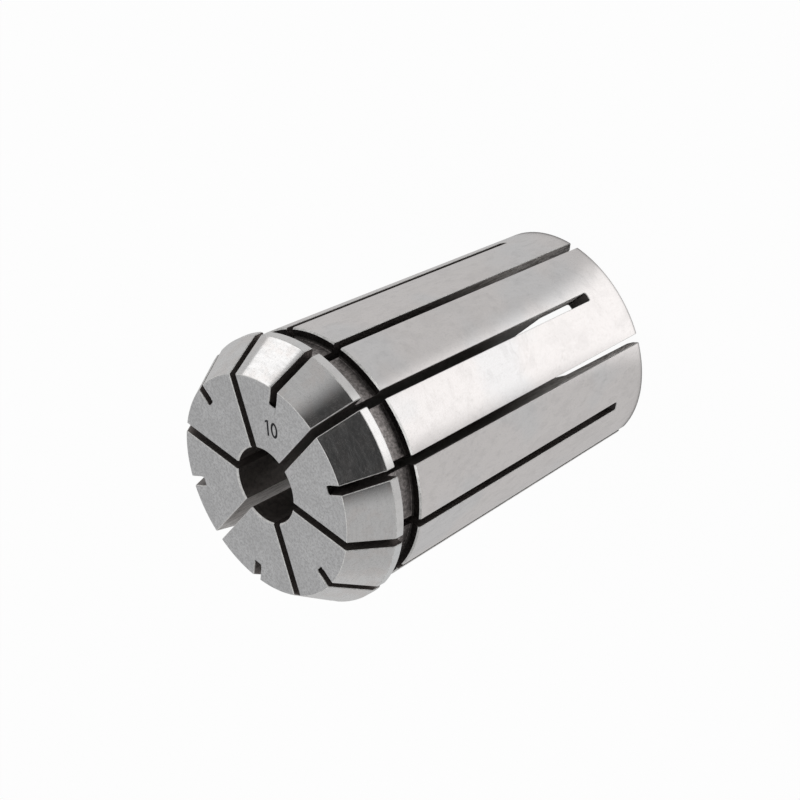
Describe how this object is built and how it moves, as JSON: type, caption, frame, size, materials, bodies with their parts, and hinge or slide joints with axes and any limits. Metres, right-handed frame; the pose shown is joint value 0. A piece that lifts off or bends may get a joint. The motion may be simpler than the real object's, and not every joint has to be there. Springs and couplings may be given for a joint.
{
  "type": "spring collet",
  "caption": "Slotted spring collet: a tapered steel sleeve that closes on a straight tool shank when a clamping nut presses its conical head into a holder.",
  "frame": {"origin": "centre of the rear end, on the collet's axis, where it stands", "axes": "+Z along the axis, from the rear end to the front face. +X along one of the slots sawn from the rear, -Y along one of the slots sawn from the front"},
  "size_m": [0.035, 0.035, 0.052],
  "materials": {
    "ground_steel": "hardened spring steel, finely ground on the taper and the head, satin on the front face, darker and left as turned in the groove, sawn in the slots"
  },
  "bodies": {
    "root": {"collet": "ground_steel"}
  },
  "joints": []
}
